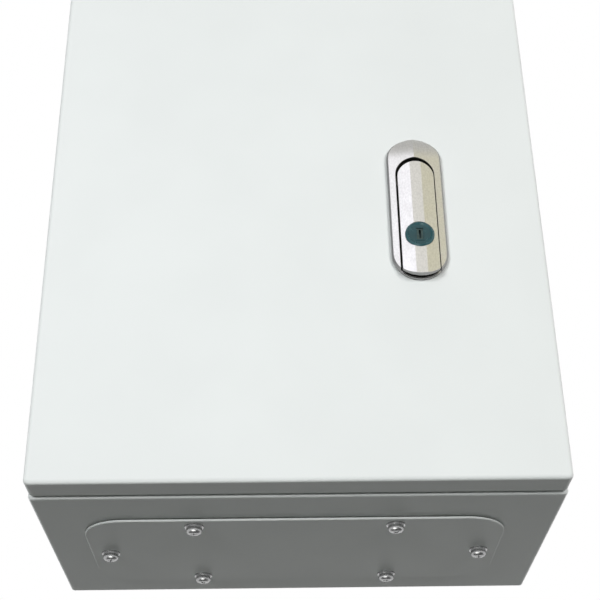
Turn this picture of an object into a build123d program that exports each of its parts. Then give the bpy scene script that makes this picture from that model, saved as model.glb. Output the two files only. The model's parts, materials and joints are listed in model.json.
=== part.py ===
from build123d import *
import os
from math import radians, sin, sqrt

# Wall-mounted sheet-steel electrical panel box: a folded body, a hinged door with a
# lift-and-turn key lock, and a screwed gland plate under the body.
# Millimetres. X runs along the width, +Z is up, the wall face lies on y = 0 and the
# door faces -Y. The origin is the centre of the four wall holes.
# Distances called back and front count forward from the wall, towards the door.

# Box
box_width = 303.0
box_height = 400.0
box_depth = 190.0
sheet = 1.2
bend_inside_radius = 0.8
corner_ease = 0.5
overrun = 1.0
thread_clearance = 0.05
running_clearance = 0.05
seat_clearance = 0.3

# Front frame of the body
flange_width = 18.0
lip_corner_radius = 6.0

# Wall holes
wall_hole_inset = 30.0
wall_hole_radius = 4.5

# Door
door_margin = 0.8
door_skirt = 18.0
door_gap = 3.2
door_bend_inside_radius = 1.3
door_gasket_width = 12.0
door_gasket_thickness = 7.5
door_gasket_crown = 3.0
door_gasket_inside_radius = 2.0

# Hinges
hinge_from_end = 70.0
hinge_inset = 6.0
hinge_pin_radius = 2.5
hinge_pin_head_radius = 3.6
hinge_pin_head_height = 1.5
hinge_knuckle_radius = 4.0
hinge_body_knuckle = 16.0
hinge_door_knuckle = 12.0
hinge_plate = 2.0
hinge_foot_length = 44.0
hinge_foot_margin = 3.0
hinge_wing_width = 9.0

# Gland plate under the body
gland_width = 249.0
gland_depth = 107.8
gland_from_wall = 83.0
gland_shift = 2.0
gland_corner_radius = 24.0
gland_plate_thickness = 1.2
gland_gasket_thickness = 0.8
gland_gasket_inset = 1.0
gland_screw_inset = 11.6
gland_row_inset = 8.5
gland_row_spacing = 118.0
gland_opening_land = 21.0
gland_opening_side_land = 20.0
gland_opening_radius = 12.0
gland_collar_radius = 4.0
gland_collar_height = 3.0

# Pan-head screws of the gland plate, with a flat and a spring washer each
gland_screw_radius = 2.5
gland_screw_length = 10.0
gland_head_radius = 4.75
gland_head_height = 3.3
gland_head_crown = 1.9
gland_washer_radius = 5.6
gland_washer_thickness = 1.0
gland_spring_radius = 4.6
gland_spring_thickness = 1.2
gland_spring_split = 0.9
recess_length = 5.0
recess_width = 1.1
recess_depth = 1.7

# Mounting plate inside the body
plate_margin_x = 25.0
plate_margin_z = 25.0
plate_thickness = 2.0
plate_corner_cut = 32.0
plate_standoff = 18.0
plate_stud_inset_x = 20.0
plate_stud_inset_z = 50.0
plate_stud_radius = 3.0
plate_stud_length = 14.0
plate_shoulder_radius = 5.5
plate_washer_radius = 6.2
plate_washer_thickness = 1.2
plate_nut_flats = 10.0
plate_nut_height = 5.0
plate_hole_clearance = 0.4

# Earth studs on the body and on the door
earth_stud_radius = 3.0
earth_stud_length = 20.0
earth_stud_foot_radius = 4.5
earth_stud_foot_height = 2.0
earth_nut_flats = 10.0
earth_nut_height = 5.0
earth_washer_radius = 6.2
earth_washer_thickness = 1.2
earth_from_bottom = 42.0
body_earth_from_wall = 60.0
door_earth_from_edge = 42.0

# Lock housing, a die-cast frame that stands on the door's face
lock_from_edge = 76.4
lock_axis_drop = 2.5
lock_rail_width = 4.8
lock_above_axis = 32.5
lock_below_axis = 70.5
lock_gasket_thickness = 0.8
lock_gasket_inset = 0.5
lock_rail_height = 4.6
lock_roof_share = 0.15
lock_top_height = 2.2
lock_bevel = 1.0
lock_channel_floor = 2.2
lock_channel_gap = 1.0
lock_channel_rise = 3.4
lock_neck_inset = 1.8
lock_neck_clearance = 0.3
lock_neck_depth = 8.0
lock_pocket_inset = 0.2
lock_pocket_depth = 5.0
lock_bearing_radius = 9.0
lock_bearing_depth = 18.0
lock_boss_radius = 4.0
lock_boss_above = 23.0
lock_boss_below = 60.0
lock_boss_recess = 0.2
lock_bracket_width = 36.0
lock_bracket_margin = 8.0
lock_bracket_thickness = 2.0
lock_screw_radius = 2.0
lock_screw_length = 4.0
lock_screw_head_radius = 5.5
lock_screw_head_height = 2.6
lock_screw_crown = 1.2

# Black liner of the handle's channel
liner_wall = 0.3
liner_floor = 0.5
liner_drop = 0.4
liner_land = 0.3

# Lock handle, which lifts about a cross pin and then turns the spindle
handle_width = 22.2
handle_underside = 5.0
handle_side_height = 7.6
handle_ridge_height = 9.6
handle_ridge_width = 6.8
handle_end_bevel = 1.0
handle_finger_scoop = 1.2
handle_finger_length = 9.0
handle_pin_height = 4.5
handle_pin_radius = 1.5
handle_ear_radius = 3.2
handle_ear_width = 4.0
handle_slot_length = 10.0

# Key cylinder in the handle
key_below_axis = 43.5
key_cap_radius = 8.75
key_cap_top = 10.4
key_cap_bevel = 0.9
key_cap_rim = 0.6
key_dish_slope = 0.8
key_dish_depth = 0.8
key_seat_height = 6.4
key_plug_radius = 4.6
key_plug_recess = 0.3
key_window_width = 4.0
key_window_height = 8.0
key_frame_wall = 0.7
key_frame_rise = 0.3
key_slit_width = 1.2
key_slit_height = 6.0
key_slit_depth = 2.4

# Spindle and the cam that holds the door shut
spindle_radius = 6.0
spindle_collar_radius = 9.0
spindle_collar_height = 2.0
spindle_eye_width = 8.0
spindle_groove_depth = 1.0
spindle_clip_radius = 8.5
spindle_clip_thickness = 1.0
spindle_clip_gap = 0.2
spindle_square = 8.0
cam_thickness = 3.0
cam_width = 18.0
cam_overlap = 11.0
cam_flange_gap = 0.5
cam_washer_radius = 7.0
cam_washer_thickness = 1.5
cam_screw_radius = 2.5
cam_screw_length = 9.0
cam_screw_head_radius = 4.75
cam_screw_head_height = 3.3
cam_screw_crown = 1.6

# Worked-out distances from the wall
body_depth = box_depth - door_skirt - door_gap
skirt_back = box_depth - door_skirt
door_inside = box_depth - sheet
lip_front = door_inside - door_gasket_thickness - seat_clearance

# Worked-out bends and corners
bend_radius = bend_inside_radius + sheet
corner_radius = bend_radius + corner_ease
door_bend_radius = door_bend_inside_radius + sheet
door_corner_radius = door_bend_radius + corner_ease
hinge_bend_radius = door_bend_inside_radius + seat_clearance

# Worked-out door, lip and hinge places
door_width = box_width - 2 * door_margin
door_height = box_height - 2 * door_margin
wall_hole_spacing_x = box_width - 2 * wall_hole_inset
wall_hole_spacing_z = box_height - 2 * wall_hole_inset
lip_width = box_width - 2 * flange_width
lip_height = box_height - 2 * flange_width
opening_width = lip_width - 2 * sheet
opening_height = lip_height - 2 * sheet
hinge_x = -(door_width / 2 - sheet - seat_clearance - hinge_knuckle_radius)
hinge_back = skirt_back + hinge_inset
hinge_spacing = box_height - 2 * hinge_from_end
hinge_bore_radius = hinge_pin_radius + running_clearance

# Worked-out mounting plate
plate_width = box_width - 2 * plate_margin_x
plate_height = box_height - 2 * plate_margin_z

# Worked-out gland plate places
gland_center_x = -gland_shift
gland_center_y = -gland_from_wall
gland_top_z = -box_height / 2
gland_plate_top = gland_top_z - gland_gasket_thickness
gland_plate_bottom = gland_plate_top - gland_plate_thickness
gland_washer_bottom = gland_plate_bottom - gland_washer_thickness
gland_spring_bottom = gland_washer_bottom - gland_spring_thickness

# Worked-out lock places
lock_x = door_width / 2 - lock_from_edge
lock_z = -lock_axis_drop
lock_base = box_depth + lock_gasket_thickness
channel_width = handle_width + 2 * lock_channel_gap
lock_width = channel_width + 2 * lock_rail_width
lock_ridge = box_depth + lock_rail_height + lock_roof_share * channel_width / 2
lock_neck_radius = lock_width / 2 - lock_neck_inset
lock_pocket_radius = channel_width / 2 - lock_pocket_inset
pocket_floor = box_depth - lock_pocket_depth
neck_back = box_depth - lock_neck_depth
bearing_back = box_depth - lock_bearing_depth
bracket_back = door_inside - lock_bracket_thickness
pin_front = box_depth + handle_pin_height
key_z = lock_z - key_below_axis
key_seat = box_depth + key_seat_height
key_dish_floor = box_depth + key_cap_top - key_dish_depth
spindle_bore_radius = spindle_radius + running_clearance
clip_front = bearing_back - spindle_clip_gap
clip_back = clip_front - spindle_clip_thickness
cam_front = body_depth - sheet - cam_flange_gap
cam_back = cam_front - cam_thickness
cam_reach = opening_width / 2 + cam_overlap - lock_x


def slab(outline, back, front):
    """Extrude an outline seen from the front between two distances from the wall."""
    return extrude(Plane.XZ.offset(back) * outline, front - back)


def layer(outline, low, high):
    """Extrude an outline seen from above between two heights."""
    return extrude(Plane.XY.offset(low) * outline, high - low)


def rounded_ring(width, height, radius, wall):
    """A rounded rectangle with an even wall."""
    inner = RectangleRounded(width - 2 * wall, height - 2 * wall, radius - wall)
    return RectangleRounded(width, height, radius) - inner


def at_places(places, shape):
    """Copies of one shape at several places, as one sketch."""
    copies = [Pos(x, z) * shape for x, z in places]
    return Sketch() + copies


def corners(spacing_x, spacing_z):
    """The four corners of a rectangular hole pattern."""
    return [(sx * spacing_x / 2, sz * spacing_z / 2) for sx in (-1, 1) for sz in (-1, 1)]


def flat_edges(solid, distance, width, height):
    """Edges that lie at one distance from the wall, inside a centred window."""
    def inside(edge):
        box = edge.bounding_box()
        flat = box.size.Y < sheet / 4 and abs(edge.center().Y + distance) < sheet / 4
        reach_x = max(abs(box.min.X), abs(box.max.X)) < width / 2 + sheet / 4
        reach_z = max(abs(box.min.Z), abs(box.max.Z)) < height / 2 + sheet / 4
        return flat and reach_x and reach_z
    return solid.edges().filter_by(inside)


def hexagon(flats):
    """A nut outline, given across its flats."""
    return RegularPolygon(flats / 2, 6, major_radius=False)


def cross_recess(depth):
    """The cross-shaped drive of a screw, as a cutter that goes up from z = 0."""
    arms = Rectangle(recess_length, recess_width) + Rectangle(recess_width, recess_length)
    return extrude(arms, depth)


def pan_screw(radius, length, head_radius, head_height, crown):
    """A cross-head screw: the head hangs below z = 0 and the shank goes up."""
    head = extrude(Circle(head_radius), -head_height)
    head = chamfer(head.faces().sort_by(Axis.Z)[0].edges(), crown)
    shank = extrude(Circle(radius - thread_clearance), length)
    recess = Pos(0, 0, -head_height) * cross_recess(recess_depth)
    return head + shank - recess


# Body

def gland_places():
    """Six screw places: one at the middle of each end and two along each long side."""
    end_x = gland_width / 2 - gland_screw_inset
    row_y = gland_depth / 2 - gland_row_inset
    ends = [(gland_center_x + side * end_x, gland_center_y) for side in (-1, 1)]
    rows = [
        (gland_center_x + side * gland_row_spacing / 2, gland_center_y + row * row_y)
        for side in (-1, 1)
        for row in (-1, 1)
    ]
    return ends + rows


def gland_opening():
    """The cable opening that the gland plate covers."""
    width = gland_width - 2 * gland_opening_side_land
    depth = gland_depth - 2 * gland_opening_land
    return Pos(gland_center_x, gland_center_y) * RectangleRounded(width, depth, gland_opening_radius)


def enclosure_body():
    shell = slab(RectangleRounded(box_width, box_height, corner_radius), 0, body_depth)
    faces = shell.faces().sort_by(Axis.Y)
    shell = fillet(faces[0].edges() + faces[-1].edges(), bend_radius)
    inner = RectangleRounded(box_width - 2 * sheet, box_height - 2 * sheet, corner_radius - sheet)
    hollow = slab(inner, sheet, body_depth - sheet)
    faces = hollow.faces().sort_by(Axis.Y)
    hollow = fillet(faces[0].edges() + faces[-1].edges(), bend_inside_radius)
    body = shell - hollow

    # The flange ends in a lip that turns forward round the opening
    ring = rounded_ring(lip_width, lip_height, lip_corner_radius, sheet)
    body += slab(ring, body_depth - sheet, lip_front)
    opening = RectangleRounded(opening_width, opening_height, lip_corner_radius - sheet)
    body -= slab(opening, body_depth - sheet - overrun, body_depth + overrun)
    root = flat_edges(body, body_depth, lip_width, lip_height)
    body = fillet(root, bend_inside_radius)
    back_edge = flat_edges(body, body_depth - sheet, opening_width, opening_height)
    body = fillet(back_edge, bend_inside_radius)

    # Holes in the back wall
    wall_holes = at_places(corners(wall_hole_spacing_x, wall_hole_spacing_z), Circle(wall_hole_radius))
    body -= slab(wall_holes, -overrun, sheet + overrun)

    # Cable opening and drawn, threaded collars in the bottom
    floor_inside = gland_top_z + sheet
    body -= layer(gland_opening(), gland_top_z - overrun, floor_inside + overrun)
    collars = at_places(gland_places(), Circle(gland_collar_radius))
    body += layer(collars, gland_top_z, floor_inside + gland_collar_height)
    threads = at_places(gland_places(), Circle(gland_screw_radius))
    body -= layer(threads, gland_top_z - overrun, floor_inside + gland_collar_height + overrun)
    return body


# Gland plate with its gasket and screws

def gland_outline(inset):
    width = gland_width - 2 * inset
    depth = gland_depth - 2 * inset
    shape = RectangleRounded(width, depth, gland_corner_radius - inset)
    return Pos(gland_center_x, gland_center_y) * shape


def gland_plate():
    plate = layer(gland_outline(0), gland_plate_bottom, gland_plate_top)
    edge = plate.faces().sort_by(Axis.Z)[0].outer_wire().edges()
    plate = chamfer(edge, gland_plate_thickness / 3)
    holes = at_places(gland_places(), Circle(gland_screw_radius + thread_clearance))
    return plate - layer(holes, gland_plate_bottom - overrun, gland_plate_top + overrun)


def gland_gasket():
    holes = at_places(gland_places(), Circle(gland_screw_radius + thread_clearance))
    outline = gland_outline(gland_gasket_inset) - gland_opening() - holes
    return layer(outline, gland_plate_top, gland_top_z)


def gland_screws():
    screw = pan_screw(
        gland_screw_radius,
        gland_screw_length,
        gland_head_radius,
        gland_head_height,
        gland_head_crown,
    )
    return Compound(children=[Pos(x, y, gland_spring_bottom) * screw for x, y in gland_places()])


def gland_washers():
    ring = Circle(gland_washer_radius) - Circle(gland_screw_radius + thread_clearance)
    washer = layer(ring, gland_washer_bottom, gland_plate_bottom)
    return Compound(children=[Pos(x, y) * washer for x, y in gland_places()])


def gland_spring_washers():
    ring = Circle(gland_spring_radius) - Circle(gland_screw_radius + thread_clearance)
    split = Pos(gland_spring_radius / 2, 0) * Rectangle(gland_spring_radius * 2, gland_spring_split)
    split -= Pos(-gland_spring_radius / 2, 0) * Rectangle(gland_spring_radius, gland_spring_split)
    washer = layer(ring - split, gland_spring_bottom, gland_washer_bottom)
    return Compound(children=[Pos(x, y) * washer for x, y in gland_places()])


# Mounting plate on its studs

def stud_places():
    return corners(plate_width - 2 * plate_stud_inset_x, plate_height - 2 * plate_stud_inset_z)


def mounting_plate():
    outline = chamfer(Rectangle(plate_width, plate_height).vertices(), plate_corner_cut)
    holes = at_places(stud_places(), Circle(plate_stud_radius + plate_hole_clearance))
    return slab(outline - holes, plate_standoff, plate_standoff + plate_thickness)


def mounting_studs():
    studs = []
    for x, z in stud_places():
        stud = slab(Pos(x, z) * Circle(plate_shoulder_radius), sheet, plate_standoff)
        end = plate_standoff + plate_stud_length
        stud += slab(Pos(x, z) * Circle(plate_stud_radius), plate_standoff, end)
        studs.append(stud)
    return Compound(children=studs)


def mounting_washers():
    back = plate_standoff + plate_thickness
    ring = Circle(plate_washer_radius) - Circle(plate_stud_radius + thread_clearance)
    washers = [slab(Pos(x, z) * ring, back, back + plate_washer_thickness) for x, z in stud_places()]
    return Compound(children=washers)


def mounting_nuts():
    back = plate_standoff + plate_thickness + plate_washer_thickness
    ring = hexagon(plate_nut_flats) - Circle(plate_stud_radius + thread_clearance)
    nuts = [slab(Pos(x, z) * ring, back, back + plate_nut_height) for x, z in stud_places()]
    return Compound(children=nuts)


# Earth studs

def earth_stud():
    """A weld stud that stands up from z = 0."""
    foot = extrude(Circle(earth_stud_foot_radius), earth_stud_foot_height)
    return foot + extrude(Circle(earth_stud_radius), earth_stud_length)


def earth_nut():
    """A nut and its washer face, seated on the stud's foot."""
    hole = Circle(earth_stud_radius + thread_clearance)
    washer = extrude(Circle(earth_washer_radius) - hole, earth_washer_thickness)
    nut = Pos(0, 0, earth_washer_thickness) * extrude(hexagon(earth_nut_flats) - hole, earth_nut_height)
    return Pos(0, 0, earth_stud_foot_height) * (washer + nut)


def body_earth_place():
    """On the left side wall, pointing inwards."""
    wall_x = -box_width / 2 + sheet
    place_z = -box_height / 2 + earth_from_bottom
    return Plane(origin=(wall_x, -body_earth_from_wall, place_z), z_dir=(1, 0, 0))


def door_earth_place():
    """On the door's inside, pointing back."""
    place_x = -door_width / 2 + door_earth_from_edge
    place_z = -door_height / 2 + earth_from_bottom
    return Plane(origin=(place_x, -door_inside, place_z), z_dir=(0, 1, 0))


# Door

def lock_boss_places():
    return [(lock_x, lock_z + lock_boss_above), (lock_x, lock_z - lock_boss_below)]


def door_panel():
    outer = slab(RectangleRounded(door_width, door_height, door_corner_radius), skirt_back, box_depth)
    outer = fillet(outer.faces().sort_by(Axis.Y)[0].edges(), door_bend_radius)
    inside_radius = door_corner_radius - sheet
    inside = RectangleRounded(door_width - 2 * sheet, door_height - 2 * sheet, inside_radius)
    hollow = slab(inside, skirt_back - overrun, door_inside)
    hollow = fillet(hollow.faces().sort_by(Axis.Y)[0].edges(), door_bend_inside_radius)
    holes = Pos(lock_x, lock_z) * Circle(lock_neck_radius + lock_neck_clearance)
    holes += at_places(lock_boss_places(), Circle(lock_boss_radius + lock_neck_clearance))
    return outer - hollow - slab(holes, door_inside - overrun, box_depth + overrun)


def door_gasket():
    middle_width = lip_width - sheet
    middle_height = lip_height - sheet
    ring = rounded_ring(
        middle_width + door_gasket_width,
        middle_height + door_gasket_width,
        door_gasket_inside_radius + door_gasket_width,
        door_gasket_width,
    )
    seal = slab(ring, lip_front + seat_clearance, door_inside)
    return chamfer(seal.faces().sort_by(Axis.Y)[-1].edges(), door_gasket_crown)


# Hinges, hidden between the door's skirt and the lip

def hinge_knuckle(length, middle_z):
    """A hollow barrel on the hinge axis."""
    ring = Circle(hinge_knuckle_radius) - Circle(hinge_bore_radius)
    barrel = layer(ring, middle_z - length / 2, middle_z + length / 2)
    return Pos(hinge_x, -hinge_back) * barrel


def upright_block(x_low, x_high, back, front, middle_z, length):
    """A plate given by its ends along the width, its distances from the wall and its length."""
    outline = Pos((x_low + x_high) / 2, -(back + front) / 2) * Rectangle(x_high - x_low, front - back)
    return layer(outline, middle_z - length / 2, middle_z + length / 2)


def hinge_bore(middle_z, length):
    """The clear round space that the pin runs in."""
    hole = layer(Circle(hinge_bore_radius), middle_z - length / 2, middle_z + length / 2)
    return Pos(hinge_x, -hinge_back) * hole


def hinge_body_bracket(middle_z):
    lip_face = -lip_width / 2
    foot_face = lip_face - hinge_plate
    foot_back = body_depth + hinge_foot_margin
    arm_front = hinge_back + hinge_plate
    foot = upright_block(foot_face, lip_face, foot_back, arm_front, middle_z, hinge_foot_length)
    arm = upright_block(hinge_x, lip_face, hinge_back, arm_front, middle_z, hinge_body_knuckle)
    bracket = hinge_knuckle(hinge_body_knuckle, middle_z) + arm + foot
    return bracket - hinge_bore(middle_z, hinge_foot_length)


def hinge_wing():
    """Plan outline of a wing that folds back from the door's inside to the hinge axis."""
    face = hinge_x - hinge_knuckle_radius
    end = face + hinge_wing_width
    foot_back = door_inside - hinge_plate
    angle = Polyline(
        (face, -hinge_back),
        (face, -door_inside),
        (end, -door_inside),
        (end, -foot_back),
        (face + hinge_plate, -foot_back),
        (face + hinge_plate, -hinge_back),
        close=True,
    )
    outline = make_face(angle)
    bend = outline.vertices().group_by(Axis.Y)[0].sort_by(Axis.X)[0]
    return fillet(bend, hinge_bend_radius)


def hinge_door_bracket(middle_z):
    foot_start = hinge_x - hinge_knuckle_radius + hinge_bend_radius
    foot_end = hinge_x - hinge_knuckle_radius + hinge_wing_width
    foot_back = door_inside - hinge_plate
    step = (hinge_body_knuckle + hinge_door_knuckle) / 2 + seat_clearance
    span = 2 * step + hinge_door_knuckle
    bracket = upright_block(foot_start, foot_end, foot_back, door_inside, middle_z, span)
    for side in (-1, 1):
        knuckle_z = middle_z + side * step
        low = knuckle_z - hinge_door_knuckle / 2
        wing = layer(hinge_wing(), low, low + hinge_door_knuckle)
        bracket += hinge_knuckle(hinge_door_knuckle, knuckle_z) + wing
    return bracket - hinge_bore(middle_z, 2 * hinge_door_knuckle + hinge_foot_length)


def hinge_pin(middle_z):
    half = hinge_body_knuckle / 2 + seat_clearance + hinge_door_knuckle
    shank = layer(Circle(hinge_pin_radius), middle_z - half, middle_z + half)
    head = layer(Circle(hinge_pin_head_radius), middle_z + half, middle_z + half + hinge_pin_head_height)
    return Pos(hinge_x, -hinge_back) * (shank + head)


# Lock housing with its gasket, bracket and screws

def lock_outline(inset):
    """The round-ended outline of the housing, seen from the front."""
    height = lock_above_axis + lock_below_axis
    middle_z = lock_z + (lock_above_axis - lock_below_axis) / 2
    shape = SlotOverall(height - 2 * inset, lock_width - 2 * inset, rotation=90)
    return Pos(lock_x, middle_z) * shape


def lock_channel(inset):
    """The space for the handle: straight sides, a round top and an open lower end."""
    top = Pos(lock_x, lock_z + lock_channel_rise) * Circle(channel_width / 2 - inset)
    length = lock_channel_rise + lock_below_axis + overrun
    middle_z = lock_z + lock_channel_rise - length / 2
    return top + Pos(lock_x, middle_z) * Rectangle(channel_width - 2 * inset, length)


def lock_roof():
    """The housing's top form: a ridge in the middle, falling to both sides and at the hood."""
    hood_start = lock_z + lock_channel_rise + channel_width / 2
    top = lock_z + lock_above_axis
    bottom = lock_z - lock_below_axis
    hood = box_depth + lock_top_height
    foot = Polyline((-lock_base, top), (-lock_base, bottom), (-lock_ridge, bottom))
    level = Line((-lock_ridge, bottom), (-lock_ridge, hood_start))
    fall = TangentArc((-lock_ridge, hood_start), (-hood, top), tangent=(0, 1))
    end = Line((-hood, top), (-lock_base, top))
    profile = Plane.YZ.offset(lock_x) * make_face([foot, level, fall, end])
    slant = lock_width / 2 * sqrt(1 + lock_roof_share**2)
    right = extrude(profile, slant, dir=(1, lock_roof_share, 0))
    return right + extrude(profile, slant, dir=(-1, lock_roof_share, 0))


def lock_housing():
    frame = lock_roof() & slab(lock_outline(0), lock_base, lock_ridge)
    upper = frame.faces().filter_by(lambda face: face.normal_at().Y < -sin(radians(60))).edges()
    walls = frame.faces().filter_by(lambda face: abs(face.normal_at().Y) < sin(radians(30))).edges()
    frame = chamfer(upper & walls, lock_bevel)

    # Neck, bearing and screw bosses behind the door's face
    frame += slab(Pos(lock_x, lock_z) * Circle(lock_neck_radius), neck_back, lock_base)
    frame += slab(Pos(lock_x, lock_z) * Circle(lock_bearing_radius), bearing_back, neck_back)
    boss_back = bracket_back + lock_boss_recess
    frame += slab(at_places(lock_boss_places(), Circle(lock_boss_radius)), boss_back, lock_base)

    # Channel for the handle, pocket for its pivot, spindle bore and screw holes
    frame -= slab(lock_channel(0), box_depth + lock_channel_floor, lock_ridge + overrun)
    frame -= slab(Pos(lock_x, lock_z) * Circle(lock_pocket_radius), pocket_floor, lock_ridge)
    frame -= slab(Pos(lock_x, lock_z) * Circle(spindle_bore_radius), bearing_back - overrun, pocket_floor)
    hole_front = bracket_back + lock_screw_length + lock_boss_recess
    frame -= slab(at_places(lock_boss_places(), Circle(lock_screw_radius)), boss_back - overrun, hole_front)
    return frame


def channel_liner():
    """A tray that lines the channel, open at the pivot and at the lower end."""
    floor = box_depth + lock_channel_floor
    rim = lock_ridge - liner_drop
    outer = lock_channel(running_clearance)
    inner = lock_channel(running_clearance + liner_wall)
    liner = slab(outer, floor, floor + liner_floor) + slab(outer - inner, floor, rim)
    liner &= slab(lock_outline(lock_bevel), floor, rim)
    liner &= Pos(0, liner_drop, 0) * lock_roof()
    pivot = Pos(lock_x, lock_z) * Circle(lock_pocket_radius - liner_land)
    return liner - slab(pivot, floor - overrun, rim + overrun)


def lock_gasket():
    holes = Pos(lock_x, lock_z) * Circle(lock_neck_radius + lock_neck_clearance)
    holes += at_places(lock_boss_places(), Circle(lock_boss_radius + lock_neck_clearance))
    return slab(lock_outline(lock_gasket_inset) - holes, box_depth, lock_base)


def lock_bracket():
    height = lock_boss_above + lock_boss_below + 2 * lock_bracket_margin
    middle_z = lock_z + (lock_boss_above - lock_boss_below) / 2
    plate = Pos(lock_x, middle_z) * RectangleRounded(lock_bracket_width, height, lock_bracket_margin)
    holes = Pos(lock_x, lock_z) * Circle(lock_neck_radius + lock_neck_clearance)
    holes += at_places(lock_boss_places(), Circle(lock_boss_radius + lock_neck_clearance))
    return slab(plate - holes, bracket_back, door_inside)


def lock_bracket_screws():
    screw = pan_screw(
        lock_screw_radius,
        lock_screw_length,
        lock_screw_head_radius,
        lock_screw_head_height,
        lock_screw_crown,
    )
    seat = Plane.XZ.offset(bracket_back)
    return Compound(children=[seat * Pos(x, z) * screw for x, z in lock_boss_places()])


# Spindle, its clip and the cam

def lock_spindle():
    axis = Pos(lock_x, lock_z)
    collar_back = pocket_floor + running_clearance
    collar_front = collar_back + spindle_collar_height
    spindle = slab(axis * Circle(spindle_radius), cam_front, collar_back)
    spindle += slab(axis * Circle(spindle_collar_radius), collar_back, collar_front)
    spindle += slab(axis * Rectangle(spindle_square, spindle_square), cam_back, cam_front)

    # Eye for the cross pin
    tongue = slab(axis * Rectangle(spindle_eye_width, 2 * handle_ear_radius), collar_front, pin_front)
    eye = cross_disc(handle_ear_radius, -spindle_eye_width / 2, spindle_eye_width / 2)
    hole = cross_disc(handle_pin_radius + running_clearance, -handle_width / 2, handle_width / 2)
    spindle += tongue + eye - hole

    # Clip groove and the thread for the cam screw
    groove = Circle(spindle_radius + overrun) - Circle(spindle_radius - spindle_groove_depth)
    spindle -= slab(axis * groove, clip_back, clip_front)
    thread_end = cam_back + cam_screw_length
    return spindle - slab(axis * Circle(cam_screw_radius), cam_back - overrun, thread_end)


def cross_disc(radius, x_low, x_high):
    """A round bar along the width, on the axis of the handle's cross pin."""
    disc = Plane.YZ.offset(lock_x + x_low) * Pos(-pin_front, lock_z) * Circle(radius)
    return extrude(disc, x_high - x_low)


def spindle_clip():
    inner = spindle_radius - spindle_groove_depth + running_clearance
    ring = Circle(spindle_clip_radius) - Circle(inner)
    mouth = Pos(0, -spindle_clip_radius / 2) * Rectangle(2 * inner, spindle_clip_radius)
    return slab(Pos(lock_x, lock_z) * (ring - mouth), clip_back, clip_front)


def lock_cam():
    length = cam_reach + cam_width / 2
    middle_x = lock_x + (cam_reach - cam_width / 2) / 2
    plate = Pos(middle_x, lock_z) * SlotOverall(length, cam_width)
    size = spindle_square + 2 * running_clearance
    return slab(plate - Pos(lock_x, lock_z) * Rectangle(size, size), cam_back, cam_front)


def cam_washer():
    ring = Circle(cam_washer_radius) - Circle(cam_screw_radius + thread_clearance)
    return slab(Pos(lock_x, lock_z) * ring, cam_back - cam_washer_thickness, cam_back)


def cam_screw():
    screw = pan_screw(
        cam_screw_radius,
        cam_screw_length,
        cam_screw_head_radius,
        cam_screw_head_height,
        cam_screw_crown,
    )
    return Plane.XZ.offset(cam_back - cam_washer_thickness) * Pos(lock_x, lock_z) * screw


# Handle and key cylinder

def lock_handle():
    half = handle_width / 2
    ridge = handle_ridge_width / 2
    under = box_depth + handle_underside
    side = box_depth + handle_side_height
    crest = box_depth + handle_ridge_height

    # A faceted bar, cut to the plan outline
    section = Polyline(
        (-half, under),
        (half, under),
        (half, side),
        (ridge, crest),
        (-ridge, crest),
        (-half, side),
        close=True,
    )
    section_plane = Plane(origin=(lock_x, 0, lock_z), x_dir=(1, 0, 0), z_dir=(0, 0, -1))
    bar = extrude(section_plane * make_face(section), lock_below_axis)
    bar += extrude(section_plane * make_face(section), -half)
    straight = Pos(lock_x, lock_z - lock_below_axis / 2) * Rectangle(handle_width, lock_below_axis)
    plan = straight + Pos(lock_x, lock_z) * Circle(half)
    handle = bar & slab(plan, under, crest)
    handle &= slab(lock_outline(0), under, crest)

    # The pivot end is bevelled round its top edge
    bevel = Polyline(
        (0, under),
        (half, under),
        (half, crest - 2 * handle_end_bevel),
        (half - handle_end_bevel, crest),
        (0, crest),
        close=True,
    )
    turn = Axis((lock_x, 0, lock_z), (0, 1, 0))
    dome = revolve(section_plane * make_face(bevel), turn)
    handle &= dome + slab(straight, under, crest)

    # Ears for the cross pin, with room between them for the spindle's eye
    inner = spindle_eye_width / 2 + seat_clearance
    for x_low in (-inner - handle_ear_width, inner):
        ear = cross_disc(handle_ear_radius, x_low, x_low + handle_ear_width)
        web = Rectangle(handle_ear_width, 2 * handle_ear_radius)
        web = Pos(lock_x + x_low + handle_ear_width / 2, lock_z) * web
        handle += ear + slab(web, pin_front, under)
    slot = Pos(lock_x, lock_z) * Rectangle(2 * inner, handle_slot_length)
    handle -= slab(slot, pin_front, pin_front + handle_ear_radius + seat_clearance)
    reach = inner + handle_ear_width + overrun
    handle -= cross_disc(handle_pin_radius + thread_clearance, -reach, reach)

    # Seat and bore for the key cylinder, and the finger scoop under the free end
    key = Pos(lock_x, key_z)
    handle -= slab(key * Circle(key_cap_radius + running_clearance), key_seat, crest + overrun)
    handle -= slab(key * Circle(key_plug_radius + running_clearance), under - overrun, crest)
    free_end = lock_z - lock_below_axis
    scoop = Polyline(
        (-under, free_end),
        (-under, free_end + handle_finger_length),
        (-under - handle_finger_scoop, free_end),
        close=True,
    )
    return handle - extrude(Plane.YZ.offset(lock_x) * make_face(scoop), half, both=True)


def handle_pin():
    reach = spindle_eye_width / 2 + seat_clearance + handle_ear_width
    return cross_disc(handle_pin_radius, -reach, reach)


def key_window():
    return Pos(lock_x, key_z) * Rectangle(key_window_width, key_window_height)


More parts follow.
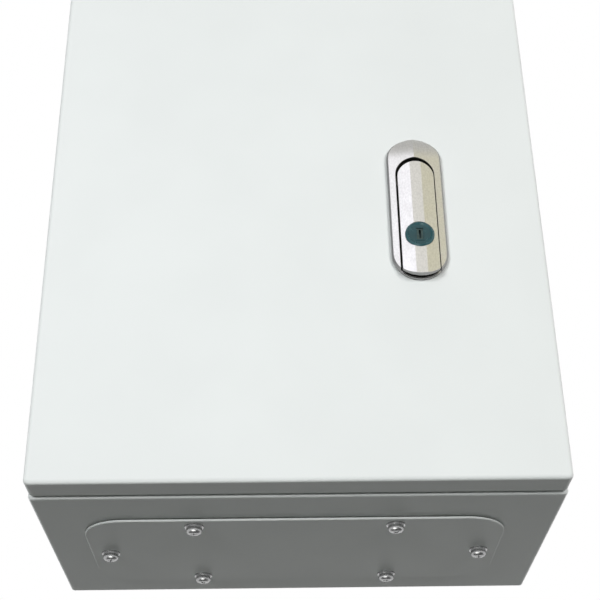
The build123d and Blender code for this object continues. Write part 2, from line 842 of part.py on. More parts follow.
def key_cap():
    # A turned cap: bevelled rim, then a slope down to the dished floor
    top = box_depth + key_cap_top
    rim_outside = key_cap_radius - key_cap_bevel
    rim_inside = rim_outside - key_cap_rim
    section = Polyline(
        (0, key_seat),
        (key_cap_radius, key_seat),
        (key_cap_radius, top - key_cap_bevel),
        (rim_outside, top),
        (rim_inside, top),
        (rim_inside - key_dish_slope, key_dish_floor),
        (0, key_dish_floor),
        close=True,
    )
    section_plane = Plane(origin=(lock_x, 0, key_z), x_dir=(1, 0, 0), z_dir=(0, 0, -1))
    cap = revolve(section_plane * make_face(section), Axis((lock_x, 0, key_z), (0, 1, 0)))

    # A raised frame round the window that shows the key plug
    frame = Rectangle(key_window_width + 2 * key_frame_wall, key_window_height + 2 * key_frame_wall)
    cap += slab(Pos(lock_x, key_z) * frame, key_seat, key_dish_floor + key_frame_rise)
    return cap - slab(key_window(), key_seat - overrun, top)


def key_plug():
    key = Pos(lock_x, key_z)
    top = key_dish_floor - key_plug_recess
    plug = slab(key * Circle(key_plug_radius), box_depth + handle_underside + key_plug_recess, key_seat)
    inset = 2 * thread_clearance
    plug += slab(key * Rectangle(key_window_width - inset, key_window_height - inset), key_seat, top)
    slit = key * Rectangle(key_slit_width, key_slit_height)
    return plug - slab(slit, top - key_slit_depth, top + overrun)


upper_z = hinge_spacing / 2
lower_z = -hinge_spacing / 2

nodes = {
    "enclosure_body": enclosure_body(),
    "gland_plate": gland_plate(),
    "gland_gasket": gland_gasket(),
    "gland_screws": gland_screws(),
    "gland_washers": gland_washers(),
    "gland_spring_washers": gland_spring_washers(),
    "mounting_plate": mounting_plate(),
    "mounting_studs": mounting_studs(),
    "mounting_washers": mounting_washers(),
    "mounting_nuts": mounting_nuts(),
    "upper_hinge_body_bracket": hinge_body_bracket(upper_z),
    "lower_hinge_body_bracket": hinge_body_bracket(lower_z),
    "body_earth_stud": body_earth_place() * earth_stud(),
    "body_earth_nut": body_earth_place() * earth_nut(),
    "door_panel": door_panel(),
    "door_gasket": door_gasket(),
    "upper_hinge_door_bracket": hinge_door_bracket(upper_z),
    "lower_hinge_door_bracket": hinge_door_bracket(lower_z),
    "upper_hinge_pin": hinge_pin(upper_z),
    "lower_hinge_pin": hinge_pin(lower_z),
    "door_earth_stud": door_earth_place() * earth_stud(),
    "door_earth_nut": door_earth_place() * earth_nut(),
    "lock_housing": lock_housing(),
    "channel_liner": channel_liner(),
    "lock_gasket": lock_gasket(),
    "lock_bracket": lock_bracket(),
    "lock_bracket_screws": lock_bracket_screws(),
    "lock_spindle": lock_spindle(),
    "spindle_clip": spindle_clip(),
    "lock_cam": lock_cam(),
    "cam_washer": cam_washer(),
    "cam_screw": cam_screw(),
    "lock_handle": lock_handle(),
    "handle_pin": handle_pin(),
    "key_cap": key_cap(),
    "key_plug": key_plug(),
}

os.makedirs("parts", exist_ok=True)
for name, solid in nodes.items():
    export_step(solid, f"parts/{name}.step")
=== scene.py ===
import json
import bmesh
import bpy
from math import cos, pi, radians, sin, tan
from mathutils import Matrix, Vector

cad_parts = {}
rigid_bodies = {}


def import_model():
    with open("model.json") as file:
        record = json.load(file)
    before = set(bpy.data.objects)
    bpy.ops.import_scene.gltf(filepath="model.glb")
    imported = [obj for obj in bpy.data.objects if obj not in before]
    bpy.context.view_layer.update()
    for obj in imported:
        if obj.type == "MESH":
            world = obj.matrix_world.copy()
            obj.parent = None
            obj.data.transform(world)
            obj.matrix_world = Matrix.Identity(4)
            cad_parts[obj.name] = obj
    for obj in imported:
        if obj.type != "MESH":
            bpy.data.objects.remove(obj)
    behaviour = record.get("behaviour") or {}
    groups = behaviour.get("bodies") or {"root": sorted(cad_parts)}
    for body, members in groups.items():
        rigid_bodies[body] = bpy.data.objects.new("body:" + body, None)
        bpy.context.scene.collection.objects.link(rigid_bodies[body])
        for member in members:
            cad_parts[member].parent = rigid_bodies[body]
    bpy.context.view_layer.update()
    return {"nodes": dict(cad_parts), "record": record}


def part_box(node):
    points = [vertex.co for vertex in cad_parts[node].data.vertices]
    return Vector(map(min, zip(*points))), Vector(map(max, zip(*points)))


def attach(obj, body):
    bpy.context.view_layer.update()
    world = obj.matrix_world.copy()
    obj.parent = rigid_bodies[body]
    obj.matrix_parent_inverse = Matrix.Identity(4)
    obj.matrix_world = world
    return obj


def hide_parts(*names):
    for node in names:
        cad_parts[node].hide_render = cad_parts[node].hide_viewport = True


# Finishes, fine hardware, studio light and camera for the electrical panel box.
# Metres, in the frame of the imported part: +Z up, the door faces -Y.

for leftover in list(bpy.data.objects):
    bpy.data.objects.remove(leftover)

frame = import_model()
nodes = frame["nodes"]
MM = 0.001
UP = (0.0, 0.0, 1.0)
FORWARD = (0.0, -1.0, 0.0)
HARDWARE_SLOT = "zinc_plated_steel"

# Camera, with angles in degrees, and lens and sensor in millimetres
CAMERA_PLACE = Vector((-0.00692, -0.84767, -0.46396))
CAMERA_ELEVATION = 29.915
CAMERA_AZIMUTH = 0.7815
CAMERA_ROLL = -0.882
CAMERA_LENS = 77.346
CAMERA_SENSOR = 36.0

# Colours of the part, with painted shade on the die-cast bevels and in the liner, and a painted
# highlight on the cap's side
COAT_WHITE = (0.815, 0.835, 0.822)
GALVANISED_GREY = (0.62, 0.64, 0.66)
ZINC_GREY = (0.42, 0.422, 0.425)
DIE_CAST_GREY = (0.72, 0.712, 0.708)
# Painted shade: the bevels, ends and sides of the die-cast lock take this share of its grey, so they
# look darker than its forward faces
CAST_BEVEL_SHADE_SHARE = 0.5
FOAM_BLACK = (0.035, 0.035, 0.032)
# Near-black of the channel liner, which also stands in as painted shade for the gaps around the handle
LINER_SHADE_BLACK = (0.012, 0.012, 0.011)
CAP_TEAL = (0.010, 0.054, 0.063)
# Painted highlight: the key cap's side is paler than its face, for the light its lower rim catches
CAP_SIDE_HIGHLIGHT_TEAL = (0.028, 0.105, 0.118)
KEY_GREY = (0.075, 0.115, 0.115)

# Ranges of texture values, and of the normal's Y from bevels to forward faces
SPREAD_RANGE = (0.25, 0.75)
TONE_RANGE = (0.3, 0.7)
FACING_RANGE = (-0.68, -0.85)
EDGE_SAMPLES = 6

# Threads, lathed forms and nuts
THREAD_PITCH_SHARE = 0.17
THREAD_DEPTH_SHARE = 0.09
THREAD_ROWS = 8
THREAD_SEGMENTS = 28
THREAD_TIP = 0.6 * MM
THREAD_TIP_SHARE = 0.8
LATHE_SEGMENTS = 48
NUT_SEGMENTS = 72
NUT_CHAMFER_DEGREES = 30.0
NUT_HOLE_RADIUS = 3.05 * MM
SMOOTH_DEGREES = 35.0
ISLAND_GRID = 0.002 * MM
WELD_DISTANCE = 0.0005 * MM

# Gland screws
GLAND_HEAD_HEIGHT = 3.3 * MM
GLAND_HEAD_EDGE = 0.6 * MM
GLAND_HEAD_CROWN = 3.0 * MM
GLAND_CROWN_SHARE = 0.85
GLAND_CROWN_STEPS = 8
GLAND_SHANK_RADIUS = 2.45 * MM
GLAND_SPIN_FIRST = 17.0
GLAND_SPIN_STEP = 67.0
RECESS_LENGTH = 4.6 * MM
RECESS_WIDTH = 1.0 * MM
RECESS_DEPTH = 1.8 * MM
RECESS_TAPER_SHARE = 0.55

# Studs and nuts inside
STUD_RADIUS = 3.0 * MM
STUD_RIM_SHARE = 0.06
MOUNTING_NUT_SPIN_FIRST = 11.0
MOUNTING_NUT_SPIN_STEP = 23.0
EARTH_FOOT_HEIGHT = 2.0 * MM
EARTH_FOOT_RIM_SHARE = 0.08
EARTH_WASHER_THICKNESS = 1.2 * MM
EARTH_WASHER_RIM_SHARE = 0.2
EARTH_NUT_FLATS_SHARE = 10.0 / 12.4
EARTH_NUT_SPIN = 13.0

# Studio
WORLD_LEVEL = 0.10
FLOOR_HEIGHT = -0.75
FLOOR_HALF = 6.0
FLOOR_PALE = (0.34, 0.34, 0.335)
FLOOR_GLOW = 0.62
FLOOR_SHADE = (0.085, 0.09, 0.085)
FLOOR_ROUGHNESS = 0.9
WHITE = (1.0, 1.0, 1.0)
COOL_WHITE = (0.97, 1.0, 1.01)
BLACK = (0.0, 0.0, 0.0)
DOOR_MIDDLE = (0.0, -0.19, 0.0)
BOX_MIDDLE = (0.0, -0.1, 0.0)
BACK_MIDDLE = (0.0, 0.0, 0.0)

# Each lamp: name, place, target, size, power in watts and colour
LAMPS = (
    ("left_key", (-1.12, -2.61, -0.13), DOOR_MIDDLE, 0.88, 39.0, COOL_WHITE),
    ("right_key", (1.12, -2.61, -0.13), DOOR_MIDDLE, 0.88, 32.5, WHITE),
    ("top_light", (0.0, 0.1, 1.9), BOX_MIDDLE, 1.6, 18.0, WHITE),
    ("back_light", (0.6, 2.1, 0.4), BACK_MIDDLE, 1.6, 30.0, WHITE),
    ("left_light", (-2.1, 0.5, 0.3), BOX_MIDDLE, 1.4, 14.0, WHITE),
    ("right_light", (2.1, 0.5, 0.3), BOX_MIDDLE, 1.4, 14.0, WHITE),
)

# Each reflection card: name, direction from the lock's handle, distance, size and glow
FLAGS = (
    ("bright_flag", (-0.35, -0.8, 0.45), 1.6, 1.0, (1.78, 1.78, 1.88)),
    ("warm_flag", (0.585, -0.697, 0.42), 1.5, 1.5, (0.80, 0.765, 0.555)),
    ("upper_flag", (0.0, -0.3, 1.0), 1.4, 1.5, (0.56, 0.56, 0.535)),
    ("left_flag", (-0.84, 0.0, 0.54), 1.3, 1.8, (0.27, 0.27, 0.30)),
    ("under_flag", (0.0, 0.0, -1.0), 0.695, 1.2, (0.18, 0.18, 0.18)),
    ("spark_flag", (-0.2, -0.24, -0.68), 0.65, 0.40, (3.2, 3.2, 3.1)),
)


# Material helpers

def shade(colour, share):
    """A colour times a share, held below full white."""
    return tuple(min(1.0, channel * share) for channel in colour)


def opaque(colour):
    """A colour with full alpha."""
    return (*colour, 1.0)


def node_material(name):
    """A new material and its principled shader."""
    material = bpy.data.materials.new(name)
    material.use_nodes = True
    return material, material.node_tree.nodes["Principled BSDF"]


class Surface:
    """A finish with one principled shader and textures in the part's own space."""

    def __init__(self, name):
        self.material, self.shader = node_material(name)
        self.tree = self.material.node_tree
        coordinates = self.add("ShaderNodeTexCoord")
        self.space = coordinates.outputs["Object"]
        self.normal = coordinates.outputs["Normal"]

    def add(self, kind):
        return self.tree.nodes.new(kind)

    def link(self, source, target):
        self.tree.links.new(source, target)

    def drive(self, socket, source):
        """Let a texture drive one socket of the shader."""
        self.link(source, self.shader.inputs[socket])

    def constant(self, socket, value):
        self.shader.inputs[socket].default_value = value

    def stretched(self, scale):
        """The texture space, scaled differently along each axis."""
        mapping = self.add("ShaderNodeMapping")
        mapping.inputs["Scale"].default_value = scale
        self.link(self.space, mapping.inputs["Vector"])
        return mapping.outputs["Vector"]

    def noise(self, size, detail=3.0, space=None):
        """Noise whose features are about one size across."""
        texture = self.add("ShaderNodeTexNoise")
        texture.inputs["Scale"].default_value = 1.0 / size
        texture.inputs["Detail"].default_value = detail
        self.link(space or self.space, texture.inputs["Vector"])
        return texture.outputs["Fac"]

    def cells(self, size):
        """Cells of about one size, with random colours and distances."""
        texture = self.add("ShaderNodeTexVoronoi")
        texture.inputs["Scale"].default_value = 1.0 / size
        self.link(self.space, texture.inputs["Vector"])
        return texture

    def ranged(self, value, source, low=0.0, high=1.0):
        """A value from a source range, mapped evenly between two numbers."""
        span = self.add("ShaderNodeMapRange")
        span.inputs["From Min"].default_value = source[0]
        span.inputs["From Max"].default_value = source[1]
        span.inputs["To Min"].default_value = low
        span.inputs["To Max"].default_value = high
        self.link(value, span.inputs["Value"])
        return span.outputs["Result"]

    def facing(self):
        """One on faces that look forward on the closed part, zero on bevels and sides; it chooses where
        painted shade and painted highlight go.
        """
        split = self.add("ShaderNodeSeparateXYZ")
        self.link(self.normal, split.inputs["Vector"])
        return self.ranged(split.outputs["Y"], FACING_RANGE)

    def spread(self, value, low, high):
        """A texture value, spread evenly between two numbers."""
        return self.ranged(value, SPREAD_RANGE, low, high)

    def tone(self, value, colour, dark, light):
        """A colour times a dark to a light share, chosen by a texture value."""
        ramp = self.add("ShaderNodeValToRGB")
        for element, position, share in zip(ramp.color_ramp.elements, TONE_RANGE, (dark, light)):
            element.position = position
            element.color = opaque(shade(colour, share))
        self.link(value, ramp.inputs["Fac"])
        return ramp.outputs["Color"]

    def mixed(self, factor, first, second):
        """The first colour where the factor is zero, and the second where it is one."""
        mix = self.add("ShaderNodeMix")
        mix.data_type = "RGBA"
        self.link(factor, mix.inputs["Factor"])
        self.link(first, mix.inputs["A"])
        self.link(second, mix.inputs["B"])
        return mix.outputs["Result"]

    def bump(self, height, strength, distance, edge=0.0):
        """Small relief from a texture, and edges rounded by a radius where one is given."""
        bump = self.add("ShaderNodeBump")
        bump.inputs["Strength"].default_value = strength
        bump.inputs["Distance"].default_value = distance
        self.link(height, bump.inputs["Height"])
        if edge:
            rounded = self.add("ShaderNodeBevel")
            rounded.samples = EDGE_SAMPLES
            rounded.inputs["Radius"].default_value = edge
            self.link(rounded.outputs["Normal"], bump.inputs["Normal"])
        self.drive("Normal", bump.outputs["Normal"])


# Finishes

def powder_coat():
    """Light grey coat with the fine peel of baked powder."""
    coat = Surface("powder_coat_finish")
    broad = coat.noise(size=60 * MM, detail=2.0)
    peel = coat.noise(size=0.9 * MM, detail=2.0)
    coat.drive("Base Color", coat.tone(broad, COAT_WHITE, dark=0.985, light=1.01))
    coat.drive("Roughness", coat.spread(peel, low=0.40, high=0.50))
    coat.constant("Specular IOR Level", 0.4)
    coat.bump(peel, strength=0.35, distance=0.06 * MM)
    return coat.material


def galvanised_steel():
    """Sheet with a soft zinc spangle."""
    steel = Surface("galvanised_finish")
    spangle = steel.cells(size=7 * MM)
    split = steel.add("ShaderNodeSeparateColor")
    steel.link(spangle.outputs["Color"], split.inputs["Color"])
    steel.drive("Base Color", steel.tone(split.outputs["Red"], GALVANISED_GREY, dark=0.95, light=1.04))
    steel.drive("Roughness", steel.spread(split.outputs["Green"], low=0.38, high=0.45))
    steel.constant("Metallic", 1.0)
    steel.bump(steel.noise(size=3 * MM), strength=0.1, distance=0.05 * MM)
    return steel.material


def zinc_plate():
    """Bright plating of screws, nuts, hinges and the lock's inner pieces."""
    zinc = Surface("zinc_finish")
    mottle = zinc.noise(size=2.5 * MM)
    zinc.drive("Base Color", zinc.tone(mottle, ZINC_GREY, dark=0.9, light=1.06))
    zinc.drive("Roughness", zinc.spread(mottle, low=0.22, high=0.32))
    zinc.constant("Metallic", 1.0)
    zinc.bump(zinc.noise(size=1.5 * MM), strength=0.05, distance=0.02 * MM, edge=0.15 * MM)
    return zinc.material


def satin_die_cast():
    """Satin plating on the faces that look forward, and painted shade on bevels, ends and sides: the
    same metal drawn darker where it faces away from the front.
    """
    cast = Surface("die_cast_bevel_shade_finish")
    grain = cast.noise(size=0.9 * MM, detail=4.0, space=cast.stretched((1.0, 1.0, 0.6)))
    broad = cast.noise(size=7 * MM)
    satin = cast.tone(grain, DIE_CAST_GREY, dark=0.89, light=1.07)
    # Painted shade: a darker copy of the grey for bevels, ends and sides
    edge = cast.tone(grain, shade(DIE_CAST_GREY, CAST_BEVEL_SHADE_SHARE), dark=0.9, light=1.0)
    cast.drive("Base Color", cast.mixed(cast.facing(), edge, satin))
    cast.drive("Roughness", cast.spread(broad, low=0.34, high=0.42))
    cast.constant("Metallic", 1.0)
    cast.bump(grain, strength=0.12, distance=0.02 * MM, edge=0.18 * MM)
    return cast.material


def sealing_foam():
    """Black foam with closed pores."""
    foam = Surface("foam_finish")
    pores = foam.cells(size=0.8 * MM)
    grain = foam.noise(size=0.6 * MM)
    foam.drive("Base Color", foam.tone(grain, FOAM_BLACK, dark=0.7, light=1.5))
    foam.constant("Roughness", 0.85)
    foam.bump(pores.outputs["Distance"], strength=0.5, distance=0.2 * MM)
    return foam.material


def black_plastic():
    """Dull black plastic of the liner in the handle's channel, whose near-black also stands in as
    painted shade in the gaps around the handle.
    """
    plastic = Surface("liner_shade_finish")
    grain = plastic.noise(size=0.7 * MM)
    # Painted shade in part: the liner's near-black fills in for the shade in the channel
    plastic.drive("Base Color", plastic.tone(grain, LINER_SHADE_BLACK, dark=0.8, light=1.3))
    plastic.constant("Roughness", 0.7)
    plastic.constant("Specular IOR Level", 0.2)
    plastic.bump(grain, strength=0.2, distance=0.03 * MM)
    return plastic.material


def teal_plastic():
    """Smooth plastic with a painted highlight: paler on the side of the cap than on its face."""
    plastic = Surface("teal_plastic_highlight_finish")
    haze = plastic.noise(size=3 * MM)
    face = plastic.tone(haze, CAP_TEAL, dark=0.9, light=1.15)
    # Painted highlight: a paler copy of the teal for the cap's side and rim
    side = plastic.tone(haze, CAP_SIDE_HIGHLIGHT_TEAL, dark=0.9, light=1.1)
    plastic.drive("Base Color", plastic.mixed(plastic.facing(), side, face))
    plastic.drive("Roughness", plastic.spread(haze, low=0.2, high=0.3))
    plastic.bump(plastic.noise(size=0.4 * MM), strength=0.05, distance=0.02 * MM, edge=0.12 * MM)
    return plastic.material


def key_metal():
    """Stained metal of the barrel in the key cap."""
    metal = Surface("key_metal_finish")
    stain = metal.noise(size=1.2 * MM)
    metal.drive("Base Color", metal.tone(stain, KEY_GREY, dark=0.6, light=1.3))
    metal.drive("Roughness", metal.spread(stain, low=0.35, high=0.6))
    metal.constant("Metallic", 0.9)
    metal.bump(stain, strength=0.15, distance=0.05 * MM)
    return metal.material


def dress_nodes():
    """Give every CAD node the finish of its slot in the record."""
    finishes = {
        "powder_coat": powder_coat(),
        "galvanised_steel": galvanised_steel(),
        "zinc_plated_steel": zinc_plate(),
        "satin_die_cast": satin_die_cast(),
        "sealing_foam": sealing_foam(),
        "black_plastic": black_plastic(),
        "key_cap_plastic": teal_plastic(),
        "key_metal": key_metal(),
    }
    for row in frame["record"]["subparts"]:
        for slot in nodes[row["node"]].material_slots:
            slot.material = finishes[row["material_slot"]]
    return finishes


# Mesh helpers

def islands(name):
    """The box of each separate solid in a node, as (low corner, high corner)."""
    mesh = nodes[name].data
    leader = {}

    def find(key):
        while leader[key] != key:
            key = leader[key]
        return key

    keys = [tuple(round(value / ISLAND_GRID) for value in vertex.co) for vertex in mesh.vertices]
    for key in keys:
        leader.setdefault(key, key)
    for polygon in mesh.polygons:
        first = find(keys[polygon.vertices[0]])
        for index in polygon.vertices[1:]:
            leader[find(keys[index])] = first
    groups = {}
    for vertex, key in zip(mesh.vertices, keys):
        groups.setdefault(find(key), []).append(vertex.co)
    boxes = []
    for points in groups.values():
        low = Vector([min(point[axis] for point in points) for axis in range(3)])
        high = Vector([max(point[axis] for point in points) for axis in range(3)])
        boxes.append((low, high))
    return sorted(boxes, key=lambda box: tuple(box[0]))


def middle(box):
    """The middle of a box given by its low and high corners."""
    return (box[0] + box[1]) / 2


def ring(shape, radius, height):
    """A ring of points about Z, or one point where the radius is zero."""
    if radius == 0:
        return [shape.verts.new((0.0, 0.0, height))]
    angles = [2 * pi * step / LATHE_SEGMENTS for step in range(LATHE_SEGMENTS)]
    return [shape.verts.new((radius * cos(angle), radius * sin(angle), height)) for angle in angles]


def bridge(shape, lower, upper):
    """Faces between two rings, or between a ring and a point."""
    count = max(len(lower), len(upper))
    for step in range(count):
        after = (step + 1) % count
        corners = [lower[step % len(lower)], lower[after % len(lower)]]
        corners += [upper[after % len(upper)], upper[step % len(upper)]]
        shape.faces.new(list(dict.fromkeys(corners)))


def bridge_all(shape, rings):
    """Faces between each ring and the next."""
    for lower, upper in zip(rings, rings[1:]):
        bridge(shape, lower, upper)


def lathe(profile):
    """A closed form of revolution about Z, from (radius, height) points."""
    shape = bmesh.new()
    bridge_all(shape, [ring(shape, radius, height) for radius, height in profile])
    bmesh.ops.recalc_face_normals(shape, faces=shape.faces)
    return shape


def disc(radius, height, rim):
    """A disc on z = 0 whose upper rim is bevelled."""
    profile = [(0.0, 0.0), (radius, 0.0), (radius, height - rim)]
    profile += [(radius - rim, height), (0.0, height)]
    return lathe(profile)


def threaded_rod(radius, low, high):
    """A rod about Z with a helical thread and a bevelled tip at its high end."""
    pitch = 2 * radius * THREAD_PITCH_SHARE
    depth = 2 * radius * THREAD_DEPTH_SHARE
    rows = max(2, round((high - low) / pitch * THREAD_ROWS))
    shape = bmesh.new()
    rings = []
    for row in range(rows + 1):
        height = low + (high - low) * row / rows
        tip = min(1.0, (high - height) / THREAD_TIP)
        points = []
        for step in range(THREAD_SEGMENTS):
            angle = 2 * pi * step / THREAD_SEGMENTS
            phase = ((height - low) / pitch - step / THREAD_SEGMENTS) % 1.0
            groove = depth * abs(2 * phase - 1)
            reach = (radius - groove) * (THREAD_TIP_SHARE + (1 - THREAD_TIP_SHARE) * tip)
            points.append(shape.verts.new((reach * cos(angle), reach * sin(angle), height)))
        rings.append(points)
    bridge_all(shape, rings)
    bridge(shape, [shape.verts.new((0.0, 0.0, low))], rings[0])
    bridge(shape, rings[-1], [shape.verts.new((0.0, 0.0, high))])
    bmesh.ops.recalc_face_normals(shape, faces=shape.faces)
    return shape


def hex_nut(flats, height, hole):
    """A nut about Z, standing on z = 0, with chamfered corners at both ends."""
    inside = flats / 2
    slope = tan(radians(NUT_CHAMFER_DEGREES))
    shape = bmesh.new()
    levels = [[], [], [], []]
    bore = [[], []]
    for step in range(NUT_SEGMENTS):
        angle = 2 * pi * step / NUT_SEGMENTS
        turn = (angle % (pi / 3)) - pi / 6
        reach = inside / cos(turn)
        rise = (reach - inside) * slope
        outline = [(inside, 0.0), (reach, rise), (reach, height - rise), (inside, height)]
        outline += [(hole, 0.0), (hole, height)]
        for level, (radius, z) in zip(levels + bore, outline):
            level.append(shape.verts.new((radius * cos(angle), radius * sin(angle), z)))
    bridge_all(shape, [bore[0]] + levels + [bore[1], bore[0]])
    bmesh.ops.remove_doubles(shape, verts=shape.verts, dist=WELD_DISTANCE)
    bmesh.ops.recalc_face_normals(shape, faces=shape.faces)
    return shape


def place(shape, origin, direction=UP, spin=0.0):
    """Move a form that stands on +Z so that it stands at a place along a direction."""
    turn = Vector(direction).to_track_quat("Z", "Y").to_matrix().to_4x4()
    move = Matrix.Translation(Vector(origin)) @ turn @ Matrix.Rotation(radians(spin), 4, "Z")
    bmesh.ops.transform(shape, matrix=move, verts=shape.verts)
    return shape


def link_object(name, data):
    """A new object in the scene."""
    thing = bpy.data.objects.new(name, data)
    bpy.context.scene.collection.objects.link(thing)
    return thing


def mesh_object(name, shapes):
    """One object from several forms, smooth but for its sharp edges."""
    mesh = bpy.data.meshes.new(name)
    whole = bmesh.new()
    for shape in shapes:
        part = bpy.data.meshes.new("part")
        shape.to_mesh(part)
        shape.free()
        whole.from_mesh(part)
        bpy.data.meshes.remove(part)
    whole.to_mesh(mesh)
    whole.free()
    for polygon in mesh.polygons:
        polygon.use_smooth = True
    mesh.set_sharp_from_angle(angle=radians(SMOOTH_DEGREES))
    return link_object(name, mesh)


def finish_piece(piece, body, node, slot):
    """Give a piece its finish, let it ride on a body and stand for a node."""
    piece.data.materials.append(finishes[slot])
    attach(piece, body)
    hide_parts(node)


# Screws of the gland plate

def recess_cutter():
    """Two crossed wedges about z = 0, narrower towards the bottom of the recess."""
    shape = bmesh.new()
    for length, width in ((RECESS_LENGTH, RECESS_WIDTH), (RECESS_WIDTH, RECESS_LENGTH)):
        wedge = bmesh.ops.create_cube(shape, size=1.0)["verts"]
        for vertex in wedge:
            deep = vertex.co.z > 0
            shrink = RECESS_TAPER_SHARE if deep else 1.0
            vertex.co.x *= length * shrink
            vertex.co.y *= width * (shrink if length > width else 1.0)
            vertex.co.z = RECESS_DEPTH if deep else -RECESS_DEPTH
    return shape


def pan_head(radius):
    """A screw head that hangs below z = 0, domed towards its middle, with a cross recess."""
    crown = (GLAND_HEAD_HEIGHT - GLAND_HEAD_EDGE) * GLAND_CROWN_SHARE
    profile = [(0.0, 0.0), (radius, 0.0)]
    for step in range(GLAND_CROWN_STEPS + 1):
        angle = pi / 2 * step / GLAND_CROWN_STEPS
        reach = radius - GLAND_HEAD_CROWN * (1 - cos(angle))
        profile.append((reach, -GLAND_HEAD_EDGE - crown * sin(angle)))
    profile.append((0.0, -GLAND_HEAD_HEIGHT))
    head = mesh_object("pan_head", [lathe(profile)])
    cutter = mesh_object("recess", [place(recess_cutter(), (0.0, 0.0, -GLAND_HEAD_HEIGHT))])
    cut = head.modifiers.new("recess", "BOOLEAN")
    cut.operation = "DIFFERENCE"
    cut.use_self = True
    cut.object = cutter
    bpy.context.view_layer.update()
    done = bmesh.new()
    done.from_object(head, bpy.context.evaluated_depsgraph_get())
    bpy.data.objects.remove(head)
    bpy.data.objects.remove(cutter)
    return done


def gland_screws():
    """Six screws with domed heads and threaded shanks, each turned differently."""
    shapes = []
    for index, (low, high) in enumerate(islands("gland_screws")):
        center = middle((low, high))
        seat = Vector((center.x, center.y, low.z + GLAND_HEAD_HEIGHT))
        spin = GLAND_SPIN_FIRST + GLAND_SPIN_STEP * index
        shapes.append(place(pan_head((high.x - low.x) / 2), seat, spin=spin))
        shapes.append(place(threaded_rod(GLAND_SHANK_RADIUS, 0.0, high.z - seat.z), seat))
    finish_piece(mesh_object("gland_screw_set", shapes), "enclosure", "gland_screws", HARDWARE_SLOT)


# Studs and nuts inside

def mounting_studs():
    """Threaded studs whose shoulders end at the back of the mounting plate."""
    plate_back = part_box("mounting_plate")[1].y
    shapes = []
    for low, high in islands("mounting_studs"):
        center = middle((low, high))
        shoulder = (high.x - low.x) / 2
        foot = Vector((center.x, high.y, center.z))
        height = high.y - plate_back
        shapes.append(place(disc(shoulder, height, STUD_RIM_SHARE * shoulder), foot, FORWARD))
        shapes.append(place(threaded_rod(STUD_RADIUS, height, high.y - low.y), foot, FORWARD))
    finish_piece(mesh_object("mounting_stud_set", shapes), "enclosure", "mounting_studs", HARDWARE_SLOT)


def mounting_nuts():
    """Chamfered nuts in front of the mounting plate, each turned differently."""
    shapes = []
    for index, (low, high) in enumerate(islands("mounting_nuts")):
        center = middle((low, high))
        flats = min(high.x - low.x, high.z - low.z)
        seat = Vector((center.x, high.y, center.z))
        nut = hex_nut(flats, high.y - low.y, NUT_HOLE_RADIUS)
        spin = MOUNTING_NUT_SPIN_FIRST + MOUNTING_NUT_SPIN_STEP * index
        shapes.append(place(nut, seat, FORWARD, spin))
    finish_piece(mesh_object("mounting_nut_set", shapes), "enclosure", "mounting_nuts", HARDWARE_SLOT)


def earth_point(side, body, direction):
    """A threaded earth stud on its weld foot, with a flanged nut."""
    low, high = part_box(f"{side}_earth_stud")
    nut_low, nut_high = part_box(f"{side}_earth_nut")
    along = Vector(direction)
    axis = max(range(3), key=lambda index: abs(along[index]))
    across = (axis + 1) % 3
    foot = middle((low, high))
    foot[axis] = low[axis] if along[axis] > 0 else high[axis]
    radius = (high[across] - low[across]) / 2
    stud = [place(disc(radius, EARTH_FOOT_HEIGHT, EARTH_FOOT_RIM_SHARE * radius), foot, direction)]
    rod = threaded_rod(STUD_RADIUS, EARTH_FOOT_HEIGHT, high[axis] - low[axis])
    stud.append(place(rod, foot, direction))
    finish_piece(mesh_object(f"{side}_earth_rod", stud), body, f"{side}_earth_stud", HARDWARE_SLOT)

    seat = foot + along * EARTH_FOOT_HEIGHT
    reach = (nut_high[across] - nut_low[across]) / 2
    thick = EARTH_WASHER_THICKNESS
    rim = EARTH_WASHER_RIM_SHARE * thick
    washer = [(NUT_HOLE_RADIUS, 0.0), (reach - rim, 0.0), (reach, rim)]
    washer += [(reach, thick - rim), (reach - rim, thick), (NUT_HOLE_RADIUS, thick)]
    washer.append(washer[0])
    nut = [place(lathe(washer), seat, direction)]
    height = nut_high[axis] - nut_low[axis] - thick
    hexagon = hex_nut(2 * reach * EARTH_NUT_FLATS_SHARE, height, NUT_HOLE_RADIUS)
    nut.append(place(hexagon, seat + along * thick, direction, EARTH_NUT_SPIN))
    finish_piece(mesh_object(f"{side}_earth_flange_nut", nut), body, f"{side}_earth_nut", HARDWARE_SLOT)


# Studio

def unseen(thing, glossy):
    """Hide a lamp or a card from the camera, and leave or hide it in reflections."""
    thing.visible_camera = False
    thing.visible_glossy = glossy


def lamp(name, position, target, size, power, colour):
    """A square lamp that looks at a target."""
    data = bpy.data.lights.new(name, "AREA")
    data.size = size
    data.energy = power
    data.color = colour
    light = link_object(name, data)
    light.location = position
    light.rotation_euler = (Vector(target) - Vector(position)).to_track_quat("-Z", "Y").to_euler()
    unseen(light, False)


def flat_square(name, half):
    """A square of the stage, flat on z = 0."""
    mesh = bpy.data.meshes.new(name)
    corners = [(-half, -half, 0), (half, -half, 0), (half, half, 0), (-half, half, 0)]
    mesh.from_pydata(corners, [], [(0, 1, 2, 3)])
    square = link_object(name, mesh)
    return square


def flag(name, direction, distance, size, glow):
    """A card that shapes what the metal reflects, and is seen in nothing else."""
    card = flat_square(name, size / 2)
    toward = Vector(direction).normalized()
    card.location = middle(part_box("lock_handle")) + toward * distance
    card.rotation_euler = toward.to_track_quat("Z", "Y").to_euler()
    material, shader = node_material(name)
    shader.inputs["Base Color"].default_value = opaque(BLACK)
    shader.inputs["Specular IOR Level"].default_value = 0.0
    shader.inputs["Emission Color"].default_value = opaque(glow)
    shader.inputs["Emission Strength"].default_value = 1.0
    card.data.materials.append(material)
    unseen(card, True)
    card.visible_diffuse = False
    card.visible_shadow = False
    card.visible_transmission = False


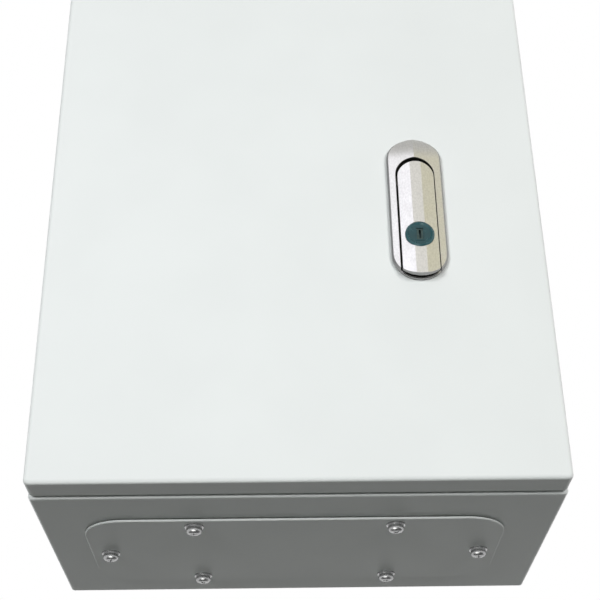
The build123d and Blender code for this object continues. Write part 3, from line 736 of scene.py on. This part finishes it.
def seen_rays(tree):
    """One for camera, glossy and transmission rays, and zero for the rest of the light."""
    path = tree.nodes.new("ShaderNodeLightPath")
    total = path.outputs["Is Camera Ray"]
    for name in ("Is Glossy Ray", "Is Transmission Ray"):
        either = tree.nodes.new("ShaderNodeMath")
        either.operation = "MAXIMUM"
        tree.links.new(total, either.inputs[0])
        tree.links.new(path.outputs[name], either.inputs[1])
        total = either.outputs[0]
    return total


def white_world():
    """A white background that lights the part only a little."""
    world = bpy.data.worlds.new("studio")
    bpy.context.scene.world = world
    world.use_nodes = True
    tree = world.node_tree
    background = tree.nodes["Background"]
    background.inputs["Color"].default_value = opaque(WHITE)
    level = tree.nodes.new("ShaderNodeMapRange")
    level.inputs["To Min"].default_value = WORLD_LEVEL
    level.inputs["To Max"].default_value = 1.0
    tree.links.new(seen_rays(tree), level.inputs["Value"])
    tree.links.new(level.outputs["Result"], background.inputs["Strength"])


def floor_plane():
    """A floor that looks pale and keeps shadows, but throws little light up at the part."""
    floor = flat_square("studio_floor", FLOOR_HALF)
    floor.location.z = FLOOR_HEIGHT
    material, shader = node_material("studio_floor")
    tree = material.node_tree
    shader.inputs["Roughness"].default_value = FLOOR_ROUGHNESS
    shader.inputs["Specular IOR Level"].default_value = 0.0
    shader.inputs["Emission Color"].default_value = opaque(WHITE)
    seen = seen_rays(tree)
    mix = tree.nodes.new("ShaderNodeMix")
    mix.data_type = "RGBA"
    mix.inputs["A"].default_value = opaque(FLOOR_SHADE)
    mix.inputs["B"].default_value = opaque(FLOOR_PALE)
    tree.links.new(seen, mix.inputs["Factor"])
    tree.links.new(mix.outputs["Result"], shader.inputs["Base Color"])
    glow = tree.nodes.new("ShaderNodeMath")
    glow.operation = "MULTIPLY"
    glow.inputs[1].default_value = FLOOR_GLOW
    tree.links.new(seen, glow.inputs[0])
    tree.links.new(glow.outputs[0], shader.inputs["Emission Strength"])
    floor.data.materials.append(material)


def studio():
    """The background, the floor, the lamps and the reflection cards."""
    white_world()
    floor_plane()
    for row in LAMPS:
        lamp(*row)
    for row in FLAGS:
        flag(*row)


def camera():
    """A camera below the lock that looks up at the door."""
    data = bpy.data.cameras.new("camera")
    data.lens = CAMERA_LENS
    data.sensor_width = CAMERA_SENSOR
    turn = Matrix.Rotation(radians(-CAMERA_AZIMUTH), 4, "Z")
    tilt = Matrix.Rotation(pi / 2 + radians(CAMERA_ELEVATION), 4, "X")
    roll = Matrix.Rotation(radians(CAMERA_ROLL), 4, "Z")
    eye = link_object("camera", data)
    eye.matrix_world = Matrix.Translation(CAMERA_PLACE) @ turn @ tilt @ roll
    bpy.context.scene.camera = eye


finishes = dress_nodes()
gland_screws()
mounting_studs()
mounting_nuts()
earth_point("body", "enclosure", (1.0, 0.0, 0.0))
earth_point("door", "door", (0.0, 1.0, 0.0))
studio()
camera()
bpy.context.scene.view_settings.view_transform = "Standard"
